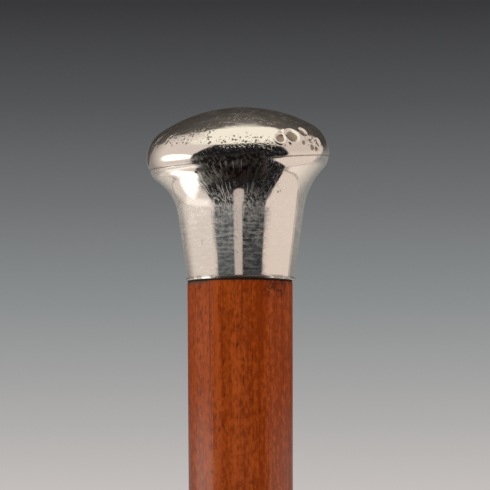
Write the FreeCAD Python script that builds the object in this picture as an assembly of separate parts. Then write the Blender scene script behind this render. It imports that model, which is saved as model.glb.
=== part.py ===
import FreeCAD, Part
import math
import os

# Walking stick with a white metal knob, standing upright on its tip, +Z up the shaft.
# Lengths are in millimetres and angles in degrees.
# The origin is the middle of the tip's worn face. The side that the photograph shows is -Y.

# Shaft, a tapered cane with a turned spigot at each end
shaft_bare_length = 808.0
shaft_top_radius = 12.0
shaft_middle_radius = 10.45
shaft_proud_of_sleeve = 0.1
shaft_edge_rounding = 0.25
neck_step = 0.8
neck_spigot_length = 14.0

# Ferrule, a parallel brass tube with an iron tip brazed into its lower end
sleeve_length = 45.0
sleeve_radius = 8.5
sleeve_wall = 0.8
sleeve_edge_rounding = 0.3
tip_height = 7.0
tip_edge_rounding = 3.0
plug_height = 12.0
braze_thickness = 0.3
foot_cement_thickness = 0.15
foot_cement_floor = 0.3

# Two pins that hold the ferrule, each filed flush with it
pin_radius = 0.8
pin_length = 6.0
pin_drop_from_sleeve_top = 12.0
pin_stagger = 4.0

# Dowel that joins the shaft to the core of the knob
dowel_radius = 4.0
dowel_depth_in_shaft = 22.0
dowel_depth_in_core = 14.0
dowel_end_gap = 0.5

# Dark cement that shows as a line under the knob
neck_line_height = 0.3
neck_line_inset = 0.12

# The whole knob sits a little to the right of the shaft
knob_shift_right = 0.2

# Skirt, the flared neck of the knob, from its rim up to the seam with the crown
skirt_wall = 0.5
skirt_pitch_gap = 0.4
skirt_cone_angle = 8.0
skirt_hollow_radius = 13.5
skirt_flare_angle = 46.5
skirt_swell_radius = 3.4
skirt_start_angle = 1.9
skirt_spread = 8.25
lip_width = 0.4
lip_height = 0.6
lip_rounding = 0.2

# Seam between skirt and crown, a plane that leans to the left and to the front
seam_height = 26.9
seam_roll = 4.35
seam_nod = 2.8
seam_shift_left = 0.2
seam_shift_front = 0.1
lean_depth = 12.75

# Crown, a dome in three arcs that leans a little less to the left than the seam and nods more
crown_wall = 0.6
crown_overhang = 0.45
crown_top_radius = 33.5
crown_shoulder_radius = 7.6
crown_turn_radius = 3.85
crown_turn_depth = 2.9
crown_rise_over_seam = 1.53
crown_roll = 2.9
crown_nod = 5.6
crown_shift_left = 0.54
crown_shift_back = 0.15

# Solder strap inside the seam
strap_width = 1.2
strap_half_height = 0.9

# Pitch shrinks a little from the shells as it sets
pitch_clearance = 0.05

# Turned wooden core inside the knob, bedded in pitch
core_stem_inset = 1.7
core_head_step = 4.5
core_head_drop_from_seam = 8.0
core_head_height = 14.0
core_head_rounding = 4.0

# How far cutting shapes reach past what they cut
overrun = 5.0

# Heights and radii that follow from the sizes above
sleeve_bottom = tip_height + braze_thickness
sleeve_top = sleeve_bottom + sleeve_length
sleeve_bore_radius = sleeve_radius - sleeve_wall
plug_top = sleeve_bottom + plug_height
foot_end = plug_top + foot_cement_floor
foot_spigot_radius = sleeve_bore_radius - foot_cement_thickness
shaft_foot_radius = sleeve_radius + shaft_proud_of_sleeve
neck_spigot_radius = shaft_top_radius - neck_step
neck_shoulder = sleeve_top + shaft_bare_length
rim_height = neck_shoulder + neck_line_height
neck_end = neck_shoulder + neck_spigot_length
skirt_rim_radius = neck_spigot_radius + skirt_pitch_gap + skirt_wall
seam_radius = skirt_rim_radius + skirt_spread
core_stem_radius = neck_spigot_radius - core_stem_inset
core_head_radius = core_stem_radius + core_head_step
crown_radius = seam_radius + crown_overhang
crown_middle_height = rim_height + seam_height + crown_rise_over_seam
core_head_foot = rim_height + seam_height - core_head_drop_from_seam
steps_per_arc = 6

up = FreeCAD.Vector(0, 0, 1)
forwards = FreeCAD.Vector(0, 1, 0)
rightwards = FreeCAD.Vector(1, 0, 0)
whole_turn = 360


def at(radius, height):
    return FreeCAD.Vector(radius, 0, height)


def line(start, end):
    return Part.LineSegment(start, end).toShape()


def arc(start, middle, end):
    return Part.Arc(start, middle, end).toShape()


def on_circle(centre, radius, angle):
    turn = math.radians(angle)
    return at(centre.x + radius * math.cos(turn), centre.z + radius * math.sin(turn))


def turned(edges):
    outline = Part.Wire(edges)
    return Part.Face(outline).revolve(FreeCAD.Vector(), up, whole_turn)


def rod(radius, bottom, top):
    return Part.makeCylinder(radius, top - bottom, at(0, bottom))


def leaning(roll, nod):
    roll_left = FreeCAD.Rotation(forwards, -roll)
    nod_forwards = FreeCAD.Rotation(rightwards, nod)
    return roll_left.multiply(nod_forwards)


def seam_placement():
    across = knob_shift_right - seam_shift_left
    middle = FreeCAD.Vector(across, -seam_shift_front, rim_height + seam_height)
    return FreeCAD.Placement(middle, leaning(seam_roll, seam_nod))


def crown_placement():
    across = knob_shift_right - crown_shift_left
    middle = FreeCAD.Vector(across, crown_shift_back, crown_middle_height)
    return FreeCAD.Placement(middle, leaning(crown_roll, crown_nod))


def save(shape, node):
    shape.exportStep("parts/" + node + ".step")


# The crown's outline in its own frame, where height 0 is its widest circle
def crown_solid(inset):
    widest = crown_radius - inset
    top_radius = crown_top_radius - inset
    shoulder_radius = crown_shoulder_radius - inset
    turn_radius = crown_turn_radius - inset
    shoulder_centre = at(crown_radius - crown_shoulder_radius, 0)
    turn_centre = at(crown_radius - crown_turn_radius, 0)
    between_centres = crown_top_radius - crown_shoulder_radius
    dome_centre = at(0, -math.sqrt(between_centres**2 - shoulder_centre.x**2))
    meeting_angle = math.degrees(math.asin(-dome_centre.z / between_centres))
    turn_angle = -math.degrees(math.asin(crown_turn_depth / turn_radius))
    apex = at(0, dome_centre.z + top_radius)
    meeting = on_circle(dome_centre, top_radius, meeting_angle)
    on_dome = on_circle(dome_centre, top_radius, (90 + meeting_angle) / 2)
    on_shoulder = on_circle(shoulder_centre, shoulder_radius, meeting_angle / 2)
    edge_top = at(widest, 0)
    edge_foot = on_circle(turn_centre, turn_radius, turn_angle)
    on_turn = on_circle(turn_centre, turn_radius, turn_angle / 2)
    foot_middle = at(0, edge_foot.z)
    solid = turned(
        [
            arc(apex, on_dome, meeting),
            arc(meeting, on_shoulder, edge_top),
            arc(edge_top, on_turn, edge_foot),
            line(edge_foot, foot_middle),
            line(foot_middle, apex),
        ]
    )
    solid.Placement = crown_placement()
    return solid


# Everything above the seam plane, as one large block
def above_seam():
    half = crown_radius + overrun
    tall = crown_top_radius + overrun
    corner = FreeCAD.Vector(-half, -half, 0)
    block = Part.makeBox(half + half, half + half, tall, corner)
    block.Placement = seam_placement()
    return block


# Stations down the skirt: depth under the seam, outer radius and slope from the vertical
def skirt_stations():
    start = math.radians(skirt_start_angle)
    flare = math.radians(skirt_flare_angle)
    cone = math.radians(skirt_cone_angle)
    stations = []
    for step in range(steps_per_arc):
        slope = start + (flare - start) * step / (steps_per_arc - 1)
        depth = skirt_swell_radius * (math.sin(slope) - math.sin(start))
        radius = seam_radius - skirt_swell_radius * (math.cos(start) - math.cos(slope))
        stations.append((depth, radius, slope))
    swell_depth, swell_foot_radius, _ = stations[-1]
    hollow_drop = skirt_hollow_radius * (math.sin(flare) - math.sin(cone))
    hollow_narrowing = skirt_hollow_radius * (math.cos(cone) - math.cos(flare))
    # The straight flare between the two arcs is as long as the cone below needs to meet the rim
    cone_widening = (seam_height - swell_depth - hollow_drop) * math.tan(cone)
    narrowing_left = swell_foot_radius - hollow_narrowing - skirt_rim_radius - cone_widening
    flare_length = narrowing_left / (math.sin(flare) - math.cos(flare) * math.tan(cone))
    hollow_depth = swell_depth + flare_length * math.cos(flare)
    hollow_radius = swell_foot_radius - flare_length * math.sin(flare)
    for step in range(steps_per_arc):
        slope = flare + (cone - flare) * step / (steps_per_arc - 1)
        depth = hollow_depth + skirt_hollow_radius * (math.sin(flare) - math.sin(slope))
        radius = hollow_radius - skirt_hollow_radius * (math.cos(slope) - math.cos(flare))
        stations.append((depth, radius, slope))
    hollow_foot_depth, hollow_foot_radius, _ = stations[-1]
    for step in range(1, steps_per_arc):
        share = step / (steps_per_arc - 1)
        depth = hollow_foot_depth + (seam_height - hollow_foot_depth) * share
        radius = hollow_foot_radius + (skirt_rim_radius - hollow_foot_radius) * share
        stations.append((depth, radius, cone))
    return stations


# A solid through one circle for each station, which leans less and less going down
def skirt_solid(inset):
    circles = []
    for depth, radius, slope in skirt_stations():
        left_share = max(0, 1 - depth / lean_depth)
        lean_share = left_share**2 * (3 - 2 * left_share)
        middle = FreeCAD.Vector(
            knob_shift_right - seam_shift_left * lean_share,
            -seam_shift_front * lean_share,
            rim_height + seam_height - depth,
        )
        turn = leaning(seam_roll * lean_share, seam_nod * lean_share)
        circle = Part.makeCircle(radius - inset / math.cos(slope))
        circle.Placement = FreeCAD.Placement(middle, turn)
        circles.append(Part.Wire([circle]))
    return Part.makeLoft(circles, True, False)


def rim_lip():
    foot = at(knob_shift_right, rim_height)
    lip = Part.makeCylinder(skirt_rim_radius + lip_width, lip_height, foot)
    rims = [e for e in lip.Edges if len(e.Vertexes) == 1]
    return lip.makeFillet(lip_rounding, rims)


def make_skirt():
    return skirt_solid(0).fuse(rim_lip()).cut(skirt_solid(skirt_wall)).removeSplitter()


def make_crown():
    shell = crown_solid(0).cut(crown_solid(crown_wall))
    return shell.common(above_seam())


# The room inside the knob, made from the same inner faces as its two shells
def make_room(clearance):
    upper = crown_solid(crown_wall + clearance).common(above_seam())
    return upper.fuse(skirt_solid(skirt_wall + clearance))


def make_strap():
    inner_radius = seam_radius - skirt_wall - strap_width
    band = rod(seam_radius + overrun, -strap_half_height, strap_half_height)
    ring = band.cut(rod(inner_radius, -overrun, overrun))
    ring.Placement = seam_placement()
    return ring.common(make_room(0))


def make_pitch():
    neck = rod(neck_spigot_radius, rim_height - overrun, neck_end)
    return make_room(pitch_clearance).cut(make_strap()).cut(core_blank()).cut(neck)


# The core before its bore is cut
def core_blank():
    head = rod(core_head_radius, core_head_foot, core_head_foot + core_head_height)
    rims = [e for e in head.Edges if len(e.Vertexes) == 1]
    head = head.makeFillet(core_head_rounding, rims)
    stem = rod(core_stem_radius, neck_end, core_head_foot + core_head_height / 2)
    return head.fuse(stem).removeSplitter()


def make_core():
    bore_top = neck_end + dowel_depth_in_core + dowel_end_gap
    return core_blank().cut(rod(dowel_radius, neck_end - overrun, bore_top))


def make_dowel():
    return rod(dowel_radius, neck_end - dowel_depth_in_shaft, neck_end + dowel_depth_in_core)


def make_neck_cement():
    outer_radius = shaft_top_radius - neck_line_inset
    ring = rod(outer_radius, neck_shoulder, rim_height)
    return ring.cut(rod(neck_spigot_radius, neck_shoulder - overrun, rim_height + overrun))


# The shaft before its bore and pin holes are cut, with a long arc for its natural taper
def shaft_blank():
    rounding = shaft_edge_rounding
    middle_height = (sleeve_top + neck_shoulder) / 2
    foot_edge = at(shaft_foot_radius, sleeve_top + rounding)
    top_edge = at(shaft_top_radius, neck_shoulder - rounding)
    foot_corner = at(shaft_foot_radius - rounding, sleeve_top)
    top_corner = at(shaft_top_radius - rounding, neck_shoulder)
    foot_centre = at(shaft_foot_radius - rounding, sleeve_top + rounding)
    top_centre = at(shaft_top_radius - rounding, neck_shoulder - rounding)
    return turned(
        [
            line(at(0, foot_end), at(foot_spigot_radius, foot_end)),
            line(at(foot_spigot_radius, foot_end), at(foot_spigot_radius, sleeve_top)),
            line(at(foot_spigot_radius, sleeve_top), foot_corner),
            arc(foot_corner, on_circle(foot_centre, rounding, -45), foot_edge),
            arc(foot_edge, at(shaft_middle_radius, middle_height), top_edge),
            arc(top_edge, on_circle(top_centre, rounding, 45), top_corner),
            line(top_corner, at(neck_spigot_radius, neck_shoulder)),
            line(at(neck_spigot_radius, neck_shoulder), at(neck_spigot_radius, neck_end)),
            line(at(neck_spigot_radius, neck_end), at(0, neck_end)),
            line(at(0, neck_end), at(0, foot_end)),
        ]
    )


def make_pins():
    first_height = sleeve_top - pin_drop_from_sleeve_top
    pins = []
    for side, height in ((1, first_height), (-1, first_height - pin_stagger)):
        outward = rightwards * side
        start = outward * (sleeve_radius - pin_length) + at(0, height)
        pin = Part.makeCylinder(pin_radius, pin_length + overrun, start, outward)
        pins.append(pin.common(rod(sleeve_radius, sleeve_bottom, sleeve_top)))
    return Part.makeCompound(pins)


def make_shaft(pins):
    bore_bottom = neck_end - dowel_depth_in_shaft - dowel_end_gap
    bore = rod(dowel_radius, bore_bottom, neck_end + overrun)
    return shaft_blank().cut(bore).cut(pins)


def make_sleeve(pins):
    tube = rod(sleeve_radius, sleeve_bottom, sleeve_top)
    upper_edge = [
        e
        for e in tube.Edges
        if len(e.Vertexes) == 1 and e.Vertexes[0].Z > (sleeve_bottom + sleeve_top) / 2
    ]
    tube = tube.makeFillet(sleeve_edge_rounding, upper_edge)
    bore = rod(sleeve_bore_radius, sleeve_bottom - overrun, sleeve_top + overrun)
    return tube.cut(bore).cut(pins)


def make_foot_cement(pins):
    cup = rod(sleeve_bore_radius, plug_top, sleeve_top)
    return cup.cut(rod(foot_spigot_radius, foot_end, sleeve_top + overrun)).cut(pins)


def make_braze():
    ring = rod(sleeve_radius, tip_height, sleeve_bottom)
    return ring.cut(rod(sleeve_bore_radius, tip_height - overrun, sleeve_bottom + overrun))


def make_tip():
    button = rod(sleeve_radius, 0, tip_height)
    worn_edge = [
        e
        for e in button.Edges
        if len(e.Vertexes) == 1 and e.Vertexes[0].Z < tip_height / 2
    ]
    button = button.makeFillet(tip_edge_rounding, worn_edge)
    return button.fuse(rod(sleeve_bore_radius, tip_height, plug_top)).removeSplitter()


def main():
    os.makedirs("parts", exist_ok=True)
    pins = make_pins()
    save(make_crown(), "knob_crown")
    save(make_skirt(), "knob_skirt")
    save(make_strap(), "seam_solder")
    save(make_pitch(), "knob_pitch")
    save(make_core(), "knob_core")
    save(make_dowel(), "neck_dowel")
    save(make_neck_cement(), "neck_cement")
    save(make_shaft(pins), "shaft")
    save(make_sleeve(pins), "ferrule_sleeve")
    save(make_foot_cement(pins), "ferrule_cement")
    save(pins, "ferrule_pins")
    save(make_braze(), "ferrule_braze")
    save(make_tip(), "ferrule_tip")


main()
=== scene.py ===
import bmesh
import bpy
import math
import numpy as np
from mathutils import Matrix, Vector, noise


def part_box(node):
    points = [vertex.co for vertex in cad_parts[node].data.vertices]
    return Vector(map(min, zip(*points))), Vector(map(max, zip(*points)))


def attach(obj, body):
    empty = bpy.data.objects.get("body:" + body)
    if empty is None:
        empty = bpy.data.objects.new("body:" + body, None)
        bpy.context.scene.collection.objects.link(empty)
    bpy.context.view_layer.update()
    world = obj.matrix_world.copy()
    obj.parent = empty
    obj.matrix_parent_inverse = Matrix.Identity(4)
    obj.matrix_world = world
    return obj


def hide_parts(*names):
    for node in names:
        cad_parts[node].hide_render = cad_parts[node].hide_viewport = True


# Walking stick with a worn silver knob, a varnished cane shaft and a brass ferrule.
# The dictionaries hold millimetres and degrees where they say nothing else, and meshes are in metres.

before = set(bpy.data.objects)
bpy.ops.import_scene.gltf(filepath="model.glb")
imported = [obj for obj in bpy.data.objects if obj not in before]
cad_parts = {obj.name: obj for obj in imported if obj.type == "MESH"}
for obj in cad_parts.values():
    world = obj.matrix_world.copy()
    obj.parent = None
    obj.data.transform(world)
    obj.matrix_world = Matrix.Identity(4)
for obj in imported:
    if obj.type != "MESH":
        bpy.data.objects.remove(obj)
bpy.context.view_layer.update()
mm = 0.001


def heightOf(node, end):  # a CAD node's lowest (0) or highest (1) point, in millimetres
    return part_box(node)[end].z / mm


rimHeight = heightOf("neck_cement", 1)
neckShoulder = heightOf("neck_cement", 0)
neckEnd = heightOf("shaft", 1)
footEnd = heightOf("shaft", 0)
sleeveTop = heightOf("ferrule_sleeve", 1)
sleeveBottom = heightOf("ferrule_sleeve", 0)
tipTop = heightOf("ferrule_braze", 0)
plugTop = heightOf("ferrule_tip", 1)


# Node graphs

class Wire:  # one output socket; Python's operators on it add Math nodes
    def __init__(self, graph, socket):
        self.graph = graph
        self.socket = socket

    def maths(self, operation, *values):
        kind = "ShaderNodeMath"
        node = self.graph.node(kind, {"operation": operation}, dict(enumerate(values)))
        return Wire(self.graph, node.outputs[0])

    def __add__(self, other):
        return self.maths("ADD", self, other)

    def __radd__(self, other):
        return self.maths("ADD", other, self)

    def __sub__(self, other):
        return self.maths("SUBTRACT", self, other)

    def __rsub__(self, other):
        return self.maths("SUBTRACT", other, self)

    def __mul__(self, other):
        return self.maths("MULTIPLY", self, other)

    def __rmul__(self, other):
        return self.maths("MULTIPLY", other, self)

    def __truediv__(self, other):
        return self.maths("DIVIDE", self, other)

    def __gt__(self, other):
        return self.maths("GREATER_THAN", self, other)

    def __abs__(self):
        return self.maths("ABSOLUTE", self)

    def least(self, other):
        return self.maths("MINIMUM", self, other)

    def most(self, other):
        return self.maths("MAXIMUM", self, other)

    def atLeast(self, least):  # least where this is 0, and 1 where it is 1
        return self * (1 - least) + least

    def ease(self, low, high):  # 0 below low and 1 above high, smooth between; low may be the larger
        settings = {"interpolation_type": "SMOOTHSTEP"}
        values = {"Value": self, "From Min": low, "From Max": high}
        return Wire(self.graph, self.graph.node("ShaderNodeMapRange", settings, values).outputs[0])


class Graph:  # adds nodes to one tree
    def __init__(self, tree):
        self.tree = tree

    def node(self, kind, settings=None, values=None):
        node = self.tree.nodes.new(kind)
        for key, value in (settings or {}).items():
            if key == "stops":
                self.setStops(node.color_ramp, value)
            elif key == "points":
                self.setPoints(node.mapping, value)
            else:
                setattr(node, key, value)
        for key, value in (values or {}).items():
            socket = node.inputs[key]
            if isinstance(value, Wire):
                self.tree.links.new(value.socket, socket)
            elif isinstance(value, bpy.types.NodeSocket):
                self.tree.links.new(value, socket)
            elif socket.type == "RGBA" and len(value) == 3:
                socket.default_value = (*value, 1)
            else:
                socket.default_value = value
        return node

    def setStops(self, ramp, stops):
        while len(ramp.elements) < len(stops):
            ramp.elements.new(1)
        for element, (place, colour) in zip(ramp.elements, stops):
            element.position = place
            element.color = (*colour, 1)

    def setPoints(self, mapping, places):
        curve = mapping.curves[0]
        while len(curve.points) < len(places):
            curve.points.new(1, 1)
        for point, place in zip(curve.points, places):
            point.location = place
            point.handle_type = "VECTOR"
        mapping.update()

    def wire(self, kind, settings=None, values=None, out=0):
        return Wire(self, self.node(kind, settings, values).outputs[out])

    def vector(self, x=0.0, y=0.0, z=0.0):
        return self.wire("ShaderNodeCombineXYZ", None, {0: x, 1: y, 2: z})

    def apart(self, vector):
        node = self.node("ShaderNodeSeparateXYZ", None, {0: vector})
        return [Wire(self, socket) for socket in node.outputs]

    def blend(self, share, first, second):  # colours: first where share is 0, second where it is 1
        settings = {"data_type": "RGBA", "clamp_factor": True}
        return self.wire("ShaderNodeMix", settings, {0: share, 6: first, 7: second}, 2)

    def grain(self, vector, scale, detail=2.0, rough=0.5):  # noise about 0.5
        values = {"Vector": vector, "Scale": scale, "Detail": detail, "Roughness": rough}
        return self.wire("ShaderNodeTexNoise", None, values)

    def drawn(self, axes, across, upright, detail=3.0, rough=0.5, lean=0, shift=0):
        # noise with one number of waves a metre across and another upright
        x, y, z = axes
        first = x * across
        if lean:
            first = first + z * lean
        if shift:
            first = first + shift
        return self.grain(self.vector(first, y * across, z * upright), 1.0, detail, rough)

    def cells(self, vector, scale):  # distance to the nearest of scattered points
        return self.wire("ShaderNodeTexVoronoi", None, {"Vector": vector, "Scale": scale})

    def painted(self, name):  # the number that the piece's points carry under a name
        return self.wire("ShaderNodeAttribute", {"attribute_name": name}, None, "Fac")

    def curve(self, value, places, low, high, least, most):  # straight-line graph through given places
        spots = [((x - low) / (high - low), (y - least) / (most - least)) for x, y in places]
        share = (value - low) / (high - low)
        graph = self.wire("ShaderNodeFloatCurve", {"points": spots}, {"Value": share})
        return graph * (most - least) + least


def newMaterial(name):
    material = bpy.data.materials.new(name)
    material.use_nodes = True
    graph = Graph(material.node_tree)
    place = Wire(graph, graph.node("ShaderNodeTexCoord").outputs["Object"])
    return material, graph, place


def feed(graph, **values):  # gives the material's shader its values
    shader = graph.tree.nodes["Principled BSDF"]
    for key, value in values.items():
        socket = shader.inputs[key.replace("_", " ")]
        if isinstance(value, Wire):
            graph.tree.links.new(value.socket, socket)
        else:
            socket.default_value = value


def shown(red, green, blue):  # a colour as a screen shows it, 0 to 255, to linear light, by the sRGB curve
    return tuple(
        c / 255 / 12.92 if c <= 10.3 else ((c / 255 + 0.055) / 1.055) ** 2.4
        for c in (red, green, blue)
    )


# Camera, a metre from the rim and looking slightly up at the knob

camera = {
    "distance": 1000.0,
    "lookUp": 3.6,
    "roll": -0.235,
    "scale": 0.22706,  # millimetres on the object for one pixel of the photograph
    "imageWidth": 490,
    "rimAcross": 239.97,  # pixel of the photograph where the rim's centre lies
    "rimDown": 281.17,
    "sensorWidth": 36,
    "clipEnd": 100,  # metres
}


def cameraAxes():
    up = math.radians(camera["lookUp"])
    turn = math.radians(camera["roll"])
    forward = Vector((0, math.cos(up), math.sin(up)))
    level = Vector((1, 0, 0))
    raised = level.cross(forward)
    right = level * math.cos(turn) + raised * math.sin(turn)
    return right, right.cross(forward), forward


def cameraPlace():  # millimetres
    forward = cameraAxes()[2]
    return Vector((0, 0, rimHeight)) - forward * camera["distance"]


def photoPlaces(points):  # where points in millimetres show in the photograph, in its pixels
    right, raised, forward = (np.array(axis) for axis in cameraAxes())
    away = points - np.array(cameraPlace())
    reach = camera["distance"] / camera["scale"] / (away @ forward)
    across = camera["rimAcross"] + reach * (away @ right)
    down = camera["rimDown"] - reach * (away @ raised)
    return across, down


def makeCamera():
    right, raised, forward = cameraAxes()
    middle = camera["imageWidth"] / 2
    place = cameraPlace()
    aim = forward * camera["distance"]
    aim += right * (middle - camera["rimAcross"]) * camera["scale"]
    aim += raised * (camera["rimDown"] - middle) * camera["scale"]
    back = -aim.normalized()
    side = raised.cross(back).normalized()
    top = back.cross(side)
    data = bpy.data.cameras.new("camera")
    data.sensor_width = camera["sensorWidth"]
    data.lens = data.sensor_width * camera["distance"] / (camera["imageWidth"] * camera["scale"])
    data.clip_end = camera["clipEnd"]
    body = bpy.data.objects.new("camera", data)
    turn = Matrix((side, top, back)).transposed().to_4x4()
    body.matrix_world = Matrix.Translation(place * mm) @ turn
    bpy.context.scene.collection.objects.link(body)
    bpy.context.scene.camera = body


# Studio: what the metal reflects is painted on the world, and lamps that metal ignores light the rest

studio = {
    "backdropDark": shown(57, 57, 59),
    "backdropMiddle": shown(139, 142, 143),
    "backdropPale": shown(195, 190, 188),
    "middleAt": 0.385,  # share of the way from pale to dark
    "paleUpTo": 0.9,
    "darkFrom": 7.2,
    "screenPower": 2.4,
    "backdropParts": (0, 0.33, 0.67, 1),
    "frontColour": (0.010, 0.009, 0.010),
    "hazeColour": (0.080, 0.086, 0.092),
    "leftColour": (0.71, 0.615, 0.55),
    "rightColour": (0.75, 0.63, 0.55),
    "overheadColour": (0.98, 0.91, 0.77),
    "hotColour": (1.75, 1.68, 1.52),
    "rearColour": (0.048, 0.042, 0.037),
    "rearAbove": (0.105, 0.090, 0.079),
    "rearDim": (0.25, 0.245, 0.23),
    "rearPale": (0.86, 0.75, 0.66),
    "cardColour": (0.52, 0.43, 0.385),
    # elevation, and how pale the sweep behind the stick is there
    "sweep": (
        (-90, 1), (-41, 1), (-33, 0.82), (-28, 0.62), (-20, 0.38), (-14, 0.14), (-9, 0.03), (-4, 0),
        (90, 0),
    ),
    # elevation, and the azimuth at which the side panels end and the rear begins
    "leftPanelEnds": (
        (-90, -150), (-5, -150), (5, -146), (20, -142), (35, -137), (50, -132), (62, -130), (90, -130),
    ),
    "rightPanelEnds": (
        (-90, 125), (-6, 125), (3, 130), (10, 138), (20, 135), (35, 130), (62, 123), (90, 121),
    ),
    # elevation, and the azimuth from the camera at which the studio's dark front ends
    "leftEnds": (
        (-90, -180), (-62, -180), (-60.5, -120), (-58, -97), (-50, -77), (-39, -66), (-26, -54),
        (-18, -50), (-10.5, -49.5), (-8.8, -57), (-5, -62), (-1, -63), (10, -58), (23, -47), (36, -38),
        (39, -34), (40.5, 15), (90, 15),
    ),
    "rightEnds": (
        (-90, 180), (-55, 180), (-53, 122), (-51.5, 100), (-46, 80), (-38, 67), (-23, 50),
        (-10.5, 45.5), (-8.5, 56), (-5, 61), (1.5, 67), (13, 63), (22, 60), (31, 46), (37, 36),
        (40, 28), (40.5, -5), (90, -5),
    ),
    "fades": {
        "sidesMeet": (-20, 20), "rearStarts": (2, 14), "rearAbove": (25, 62), "panelEdge": (-3, 3),
        "frontEdge": (-1.6, 1.6), "overheadUp": (36, 46), "overheadAcross": (110, 60),
        "overheadAll": (61, 66.5), "hazeLeft": (8, -14), "hazeRight": (4, 20),
    },
    "hazeRightShare": 0.35,
    # fades by azimuth, fades by elevation and strength
    "patches": {
        "drop": (((-84, -108), (-150, -146)), ((-15, -22),), 1),
        "warm": (((-54, -66), (-122, -110)), ((-12.6, -15), (-33, -24)), 0.35),
        "farLeft": (((-108, -146),), ((-24, -12),), 0.62),
        "highRight": (((-20, 20),), ((2, 10),), 0.12),
        "hazeBand": ((), ((-8.8, -10.2), (-29, -12.5)), 1),
    },
    "hotShoulder": {"place": (-86, 3.0), "size": (34, 10), "fade": (1.0, 0.15), "foot": (-4.8, -3.0)},
    "dropEdge": {"slope": 0.436, "height": 23.0, "fade": (1.5, -9.0)},
    # dark lines where the side panels end: azimuth, fade to each side, fade by elevation, strength
    "lines": ((123, (2.6, 0.9), (3, 0), 1), (-149, (1.8, 0.6), (-14, -20), 0.9)),
    "lineGap": {"elevation": -25, "fade": (8, 4), "share": 0.7},
    "lineShare": 0.5,
    # the pale card in the dark front, with a slanted right side and a rounded foot
    "card": {
        "left": (-13.5, -11.5), "right": (2.4, 0.4), "slant": 0.19, "top": (-8.6, -10.2),
        "roundFrom": -44.5, "roundDown": 12.5, "roundAcross": 14, "roundFade": (1.12, 0.88),
    },
}


def screenBlend(first, second, share):  # two colours, blended as a screen shows them
    power = studio["screenPower"]
    roots = [(a ** (1 / power), b ** (1 / power)) for a, b in zip(first, second)]
    return [(a * (1 - share) + b * share) ** power for a, b in roots]


def backdrop(graph, elevation):
    s = studio
    share = (elevation - s["paleUpTo"]) / (s["darkFrom"] - s["paleUpTo"])
    stops = []
    for start, end, first, second in (
        (0, s["middleAt"], s["backdropPale"], s["backdropMiddle"]),
        (s["middleAt"], 1, s["backdropMiddle"], s["backdropDark"]),
    ):
        for part in s["backdropParts"]:
            stops.append((start + (end - start) * part, screenBlend(first, second, part)))
    return graph.wire("ShaderNodeValToRGB", {"stops": stops}, {0: share})


def patch(azimuth, elevation, name):  # a soft-edged part of the studio
    byAzimuth, byElevation, share = studio["patches"][name]
    for way, fades in ((azimuth, byAzimuth), (elevation, byElevation)):
        for fade in fades:
            share = way.ease(*fade) * share
    return share


def hotSpots(azimuth, elevation):  # on the crown's left shoulder, and on the skirt under it
    h = studio["hotShoulder"]
    across = (azimuth - h["place"][0]) / h["size"][0]
    along = (elevation - h["place"][1]) / h["size"][1]
    shoulder = (across * across + along * along).ease(*h["fade"]) * elevation.ease(*h["foot"])
    d = studio["dropEdge"]
    below = (elevation - azimuth * d["slope"] - d["height"]).ease(*d["fade"])
    drop = below * patch(azimuth, elevation, "drop")
    return shoulder.most(drop).most(patch(azimuth, elevation, "warm"))


def panelLines(azimuth, elevation):
    s = studio
    right, left = (
        abs(azimuth - place).ease(*beside) * elevation.ease(*reach) * share
        for place, beside, reach, share in s["lines"]
    )
    g = s["lineGap"]
    gap = abs(elevation - g["elevation"]).ease(*g["fade"]) * g["share"]
    return (right * (1 - gap)).most(left) * s["lineShare"]


def darkFront(graph, azimuth, elevation):
    s = studio
    f = s["fades"]
    haze = azimuth.ease(*f["hazeLeft"]).most(azimuth.ease(*f["hazeRight"]) * s["hazeRightShare"])
    haze = haze * patch(azimuth, elevation, "hazeBand")
    dark = graph.blend(haze, s["frontColour"], s["hazeColour"])
    c = s["card"]
    card = azimuth.ease(*c["left"]) * (azimuth + elevation * c["slant"]).ease(*c["right"])
    down = (elevation - c["roundFrom"]).least(0) / c["roundDown"]
    rounded = (azimuth * azimuth / c["roundAcross"] ** 2 + down * down).ease(*c["roundFade"])
    card = card * rounded * elevation.ease(*c["top"])
    return graph.blend(card, dark, s["cardColour"])


def paintStudio(graph, azimuth, elevation):
    s = studio
    f = s["fades"]

    def ends(name):  # the azimuth of a boundary, by elevation
        return graph.curve(elevation, s[name], -90, 90, -180, 180)

    side = graph.blend(azimuth.ease(*f["sidesMeet"]), s["leftColour"], s["rightColour"])
    falloff = patch(azimuth, elevation, "farLeft").most(patch(azimuth, elevation, "highRight"))
    side = graph.blend(falloff, side, s["frontColour"])
    side = graph.blend(hotSpots(azimuth, elevation), side, s["hotColour"])
    pale = graph.curve(elevation, s["sweep"], -90, 90, 0, 1)
    sweep = graph.blend(pale, s["rearDim"], s["rearPale"])
    rear = graph.blend(elevation.ease(*f["rearAbove"]), s["rearColour"], s["rearAbove"])
    rear = graph.blend(elevation.ease(*f["rearStarts"]), sweep, rear)
    leftRear = (ends("leftPanelEnds") - azimuth).ease(*f["panelEdge"])
    rightRear = (azimuth - ends("rightPanelEnds")).ease(*f["panelEdge"])
    around = graph.blend(leftRear.most(rightRear), side, rear)
    around = graph.blend(panelLines(azimuth, elevation), around, s["frontColour"])
    overhead = elevation.ease(*f["overheadUp"]) * abs(azimuth).ease(*f["overheadAcross"])
    overhead = overhead.most(elevation.ease(*f["overheadAll"]))
    around = graph.blend(overhead, around, s["overheadColour"])
    front = (azimuth - ends("leftEnds")).ease(*f["frontEdge"])
    front = front * (ends("rightEnds") - azimuth).ease(*f["frontEdge"])
    return graph.blend(front, around, darkFront(graph, azimuth, elevation))


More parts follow.
